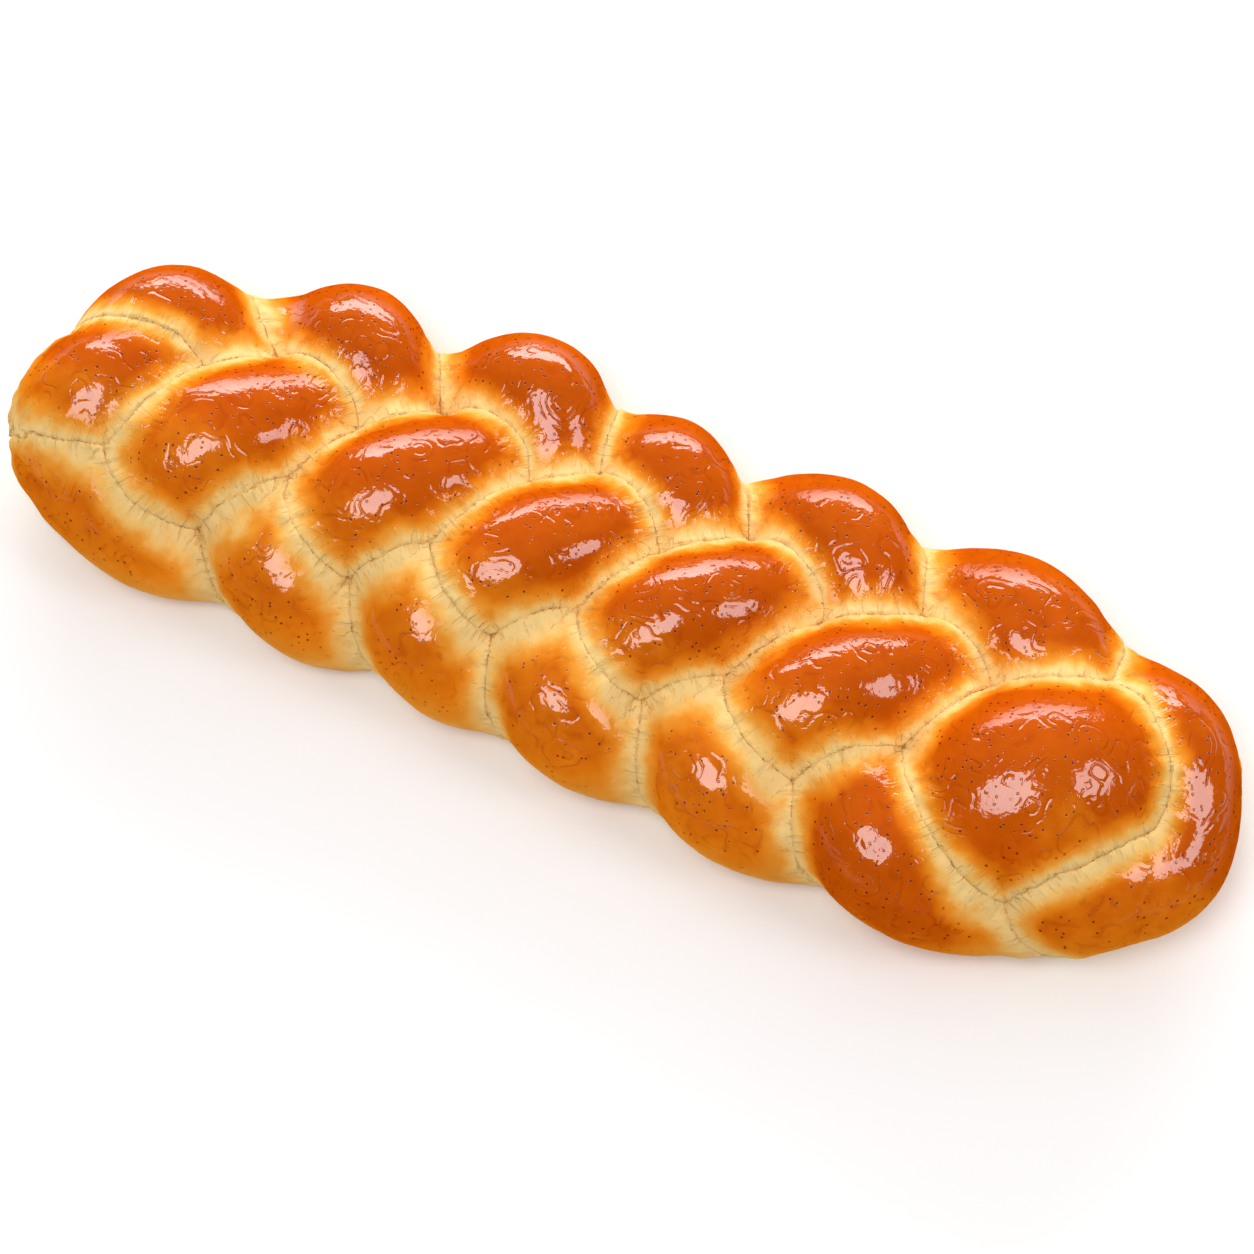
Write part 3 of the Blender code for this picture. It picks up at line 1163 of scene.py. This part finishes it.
        browned = add("MapRange", SMOOTH, {0: depth, 1: self.browned[0], 2: self.browned[1]}).outputs[0]
        dark = add("Math", TIMES, {0: speck, 1: browned}).outputs[0]
        # A thin line of painted shade runs along each seam, broken into the stretches where the crack
        # opens. It stands for the shade inside the crack between two ropes.
        gap = add("Math", TIMES_PLUS, {0: marks["mottle"], 1: 0.5, 2: marks["seam_gap"]}).outputs[0]
        inner, outer = self.line_width
        line = add("MapRange", SMOOTH, {0: gap, 1: inner, 2: outer, 3: 1.0, 4: 0.0}).outputs[0]
        size, closed, gaping = self.gape
        stretches = {"Vector": marks["foot"], "Scale": 1 / (size * MM), "Detail": 2.0}
        torn = add("TexNoise", {}, stretches).outputs["Fac"]
        opened = add("MapRange", SMOOTH, {0: torn, 1: closed, 2: gaping, 3: 0.05, 4: 1.0}).outputs[0]
        crack = add("Math", TIMES, {0: line, 1: opened}).outputs[0]
        speck_share, fold_share, crease_share = self.strengths
        layers = (
            (dark, speck_share, self.speck),
            (fold, fold_share, self.fold),
            (crease, crease_share, self.crease),
            # painted shade of the crack between two ropes
            (crack, 1.0, self.crack),
            (marks["on_tray"], 1.0, self.tray),
        )
        for where, strength, paint in layers:
            share = add("Math", TIMES, {0: where, 1: strength}).outputs[0]
            colour = add("Mix", COLOURS, {0: share, 6: colour, 7: srgb(paint)}).outputs[2]
        return colour

    def relief(self, add: AddNode, marks: dict[str, Any], speck: Any, fold: Any, crease: Any) -> Any:
        """The fine relief that is too small to mesh.

        Args:
            add: adds a node to the material.
            marks: what the skin's points carry.
            speck: where the specks are.
            fold: where the wrinkles are.
            crease: where the creases are.

        Returns:
            The socket of the skin's direction.
        """
        fold_depth, swell_height, crease_depth, speck_depth = self.reliefs
        fine = {"Vector": marks["place"], "Scale": 1 / (self.swell_size * MM), "Detail": 2.0}
        swells = add("TexNoise", {}, fine).outputs["Fac"]
        height = add("Math", TIMES, {0: fold, 1: -fold_depth}).outputs[0]
        for socket, amount in ((swells, swell_height), (crease, -crease_depth), (speck, -speck_depth)):
            height = add("Math", TIMES_PLUS, {0: socket, 1: amount, 2: height}).outputs[0]
        return add("Bump", {}, {"Strength": 1.0, "Distance": MM, "Height": height}).outputs[0]


@dataclass
class InnerCrumb:
    """The dough under the plait, which shows only as part of the loaf's flat base.

    Attributes:
        scale: metres in a pitch.
        shift: moves the plan to the frame's box.
        half_size: half its length, width and height, in pitches.
        middle: height of its middle, in pitches.
        base: height of its flat underside, in millimetres, just above the ropes' own.
        rings: of faces along it.
        around: faces in a ring.
        from_seam: how far it counts as from a seam, in millimetres.
    """

    scale: float
    shift: Vector
    half_size: tuple[float, float, float] = (3.35, 0.74, 0.33)
    middle: float = 0.2
    base: float = 0.5
    rings: int = 48
    around: int = 96
    from_seam: float = 9.0

    def build(self) -> bpy.types.Object:
        """Makes the crumb as a flattened ball."""
        rings, around = self.rings, self.around
        tilt = np.linspace(0, math.pi, rings + 1)[1:-1]
        turn = np.arange(around) / around * 2 * math.pi
        ball = np.stack(
            (
                np.cos(tilt)[:, None] * np.ones(around),
                np.sin(tilt)[:, None] * np.cos(turn),
                np.sin(tilt)[:, None] * np.sin(turn),
            ),
            2,
        ).reshape(-1, 3)
        ball = np.concatenate((ball, [[1.0, 0, 0], [-1.0, 0, 0]]))
        place = ball * self.half_size * self.scale + np.array(self.shift)
        place[:, 2] = np.maximum(place[:, 2] + self.middle * self.scale, self.base * MM)
        count = (rings - 1) * around
        faces = []
        for i in range(rings - 2):
            for j in range(around):
                k = (j + 1) % around
                faces.append((i * around + j, (i + 1) * around + j, (i + 1) * around + k, i * around + k))
        for j in range(around):
            k = (j + 1) % around
            faces.append((count, j, k))
            faces.append((count + 1, (rings - 2) * around + k, (rings - 2) * around + j))
        mesh = bpy.data.meshes.new("inner_crumb")
        mesh.from_pydata(place.tolist(), [], faces)
        on_tray = (place[:, 2] < 2 * self.base * MM).astype(np.float32)
        mesh.attributes.new("on_tray", "FLOAT", "POINT").data.foreach_set("value", on_tray)
        away = np.full(len(place), self.from_seam, np.float32)
        mesh.attributes.new("seam_gap", "FLOAT", "POINT").data.foreach_set("value", away)
        return add_to_scene(mesh)

    def dress(self, obj: bpy.types.Object, finish: EggWashedCrust) -> None:
        """Gives the crumb the loaf's finish, pale above and tray-baked underneath."""
        obj.data.materials.append(finish.material())


@dataclass(frozen=True)
class WhiteTable:
    """A plain table top of matte white laminate, which shows only the loaf's soft shadow.

    Attributes:
        colour: of its surface.
        half_size: half its side, in metres.
        roughness: of its surface.
    """

    colour: str = "FBFAFA"
    half_size: float = 3.0
    roughness: float = 0.9

    def build(self) -> bpy.types.Object:
        """Makes the table top at z = 0."""
        s = self.half_size
        mesh = bpy.data.meshes.new("table_top")
        mesh.from_pydata([(-s, -s, 0), (s, -s, 0), (s, s, 0), (-s, s, 0)], [], [(0, 1, 2, 3)])
        return add_to_scene(mesh)

    def dress(self, obj: bpy.types.Object) -> None:
        """Gives the table top its matte white."""
        material = bpy.data.materials.new("matte_white_laminate")
        material.use_nodes = True
        shader = material.node_tree.nodes["Principled BSDF"]
        shader.inputs["Base Color"].default_value = srgb(self.colour)
        shader.inputs["Roughness"].default_value = self.roughness
        shader.inputs["Specular IOR Level"].default_value = 0.0
        obj.data.materials.append(material)


@dataclass(frozen=True)
class Viewpoint:
    """The camera, above and in front of the loaf and turned so that it runs down to the right.

    Attributes:
        elevation: height above the horizon, in degrees.
        turn: how far the loaf is turned in the picture, in degrees.
        distance: from the middle of the view, in pitches.
        aim_right: place of the loaf's middle in the picture, in pitches right of the centre.
        aim_up: the same, above the centre.
        lens: focal length for a 36 mm wide sensor, in millimetres.
    """

    elevation: float = 70.0
    turn: float = 25.4
    distance: float = 20.63
    aim_right: float = -0.2366
    aim_up: float = 0.1408
    lens: float = 97.61

    def axes(self) -> tuple[Vector, Vector, Vector]:
        """The directions to the picture's right, up, and back towards the camera."""
        e, turn = math.radians(self.elevation), math.radians(self.turn)
        right = Vector((math.cos(turn), math.sin(turn), 0))
        ahead = Vector((-math.sin(turn), math.cos(turn), 0))
        back = -ahead * math.cos(e) + Vector((0, 0, math.sin(e)))
        up = ahead * math.sin(e) + Vector((0, 0, math.cos(e)))
        return right, up, back

    def build(self, scale: float, shift: Vector) -> bpy.types.Object:
        """Places the camera and makes it the scene's."""
        data = bpy.data.cameras.new("camera")
        data.lens = self.lens
        data.sensor_width = 36.0
        data.clip_start, data.clip_end = 0.05, 20.0
        data.dof.use_dof = False
        obj = bpy.data.objects.new("camera", data)
        right, up, back = self.axes()
        place = back * self.distance - right * self.aim_right - up * self.aim_up
        turned = Matrix((right, up, back)).transposed().to_4x4()
        obj.matrix_world = Matrix.Translation(place * scale + shift) @ turned
        bpy.context.scene.collection.objects.link(obj)
        bpy.context.scene.camera = obj
        return obj


@dataclass(frozen=True)
class Softbox:
    """One studio light.

    Attributes:
        name: its name.
        bearing: its direction in the picture, in degrees from straight behind the loaf, clockwise.
        elevation: its height above the horizon, in degrees.
        distance: from the loaf's middle, in metres.
        size: its width and height, in metres.
        brightness: of its face; 1 is a white surface.
        colour: of its light.
    """

    name: str
    bearing: float
    elevation: float
    distance: float
    size: tuple[float, float]
    brightness: float
    colour: str = "FFFFFF"

    def build(self, viewpoint: Viewpoint) -> bpy.types.Object:
        """Places the light, facing the loaf."""
        data = bpy.data.lights.new(self.name, "AREA")
        data.shape = "ELLIPSE"
        data.size, data.size_y = self.size
        face = math.pi / 4 * self.size[0] * self.size[1]
        data.energy = self.brightness * math.pi * face
        data.color = srgb(self.colour)[:3]
        obj = bpy.data.objects.new(self.name, data)
        turn = math.radians(viewpoint.turn)
        around, lift = math.radians(self.bearing) - turn, math.radians(self.elevation)
        level = math.cos(lift)
        way = Vector((math.sin(around) * level, math.cos(around) * level, math.sin(lift)))
        obj.location = way * self.distance
        obj.rotation_mode = "QUATERNION"
        obj.rotation_quaternion = way.to_track_quat("Z", "Y")
        bpy.context.scene.collection.objects.link(obj)
        return obj


STUDIO = (
    Softbox("back_softbox", 4.0, 18.0, 1.6, (2.0, 0.62), 6.4),
    Softbox("left_lamp", -140.0, 68.0, 1.5, (1.00, 1.00), 5.0),
    Softbox("right_lamp", 103.0, 45.0, 1.5, (0.64, 0.64), 4.3),
)


@dataclass(frozen=True)
class Daylight:
    """The white room round the table, which fills the shadows.

    Attributes:
        walls: brightness of the room away from the window.
        window: brightness of the window, behind the loaf.
        window_height: of the window's middle above the horizon, in degrees.
        edge: how squarely a direction faces the window where its light begins.
        mirrored: share of the room's light that the wash reflects, small because a studio hides it.
    """

    walls: float = 0.10
    window: float = 0.95
    window_height: float = 35.0
    edge: float = 0.2
    mirrored: float = 0.02

    def build(self, viewpoint: Viewpoint) -> None:
        """Lights the scene's surroundings, most from behind the loaf."""
        world = bpy.data.worlds.new("white_room")
        world.use_nodes = True
        add = partial(add_node, world.node_tree)
        turn, lift = math.radians(viewpoint.turn), math.radians(self.window_height)
        behind = (-math.sin(turn) * math.cos(lift), math.cos(turn) * math.cos(lift), math.sin(lift))
        way = add("TexCoord", {}, {}).outputs["Generated"]
        towards = add("VectorMath", {"operation": "DOT_PRODUCT"}, {0: way, 1: behind}).outputs["Value"]
        falls = {0: towards, 1: self.edge, 2: 1.0, 3: self.walls, 4: self.window}
        strength = add("MapRange", SMOOTH, falls).outputs[0]
        glossy = add("LightPath", {}, {}).outputs["Is Glossy Ray"]
        share = add("MapRange", {}, {0: glossy, 3: 1.0, 4: self.mirrored}).outputs[0]
        seen = add("Math", TIMES, {0: strength, 1: share}).outputs[0]
        background = world.node_tree.nodes["Background"]
        world.node_tree.links.new(seen, background.inputs["Strength"])
        background.inputs["Color"].default_value = srgb("FFFFFF")
        bpy.context.scene.world = world
        bpy.context.scene.view_settings.view_transform = "Standard"


def corners(low: Vector, high: Vector) -> dict[str, list[float]]:
    """A box as plain lists of numbers."""
    return {"low": [float(v) for v in low], "high": [float(v) for v in high]}


def fit_to_frame(plait: Plait) -> tuple[float, Vector]:
    """Finds the pitch and the place of the plait from the frame's box.

    Args:
        plait: the plan, in pitches.

    Returns:
        Metres in a pitch, and the move that centres the plait on the box.
    """
    low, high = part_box(LOAF)
    least, most = np.full(3, 1e9), np.full(3, -1e9)
    for index in range(plait.ropes):
        middles, radii = plait.rope(index, np.linspace(*plait.ends[index], 2000))
        least = np.minimum(least, (middles - radii[:, None]).min(0))
        most = np.maximum(most, (middles + radii[:, None]).max(0))
    scale = (high.x - low.x) / float(most[0] - least[0])
    middle = (least + most) / 2 * scale
    box_middle = (low + high) / 2
    return scale, Vector((box_middle.x - middle[0], box_middle.y - middle[1], low.z))


def main() -> None:
    """Builds the loaf, the table, the camera and the lights in order."""
    logging.basicConfig(level=logging.INFO, format="%(message)s")
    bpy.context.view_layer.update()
    plait = Plait()
    scale, shift = fit_to_frame(plait)
    log.info("pitch %.2f mm, moved %s", scale / MM, tuple(round(v / MM, 2) for v in shift))
    crust = EggWashedCrust()
    detail = Detail.FULL
    ropes = [DoughRope(plait, index, scale, shift, detail=detail) for index in range(plait.ropes)]
    for piece in (*ropes, InnerCrumb(scale, shift)):
        obj = piece.build()
        piece.dress(obj, crust)
        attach(obj, "root")
        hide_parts(LOAF)
        log.info("%s: %d faces", obj.name, len(obj.data.polygons))
    table = WhiteTable()
    top = table.build()
    table.dress(top)
    viewpoint = Viewpoint()
    viewpoint.build(scale, shift)
    for light in STUDIO:
        light.build(viewpoint)
        log.info("%s placed", light.name)
    Daylight().build(viewpoint)


if __name__ == "__main__":
    main()
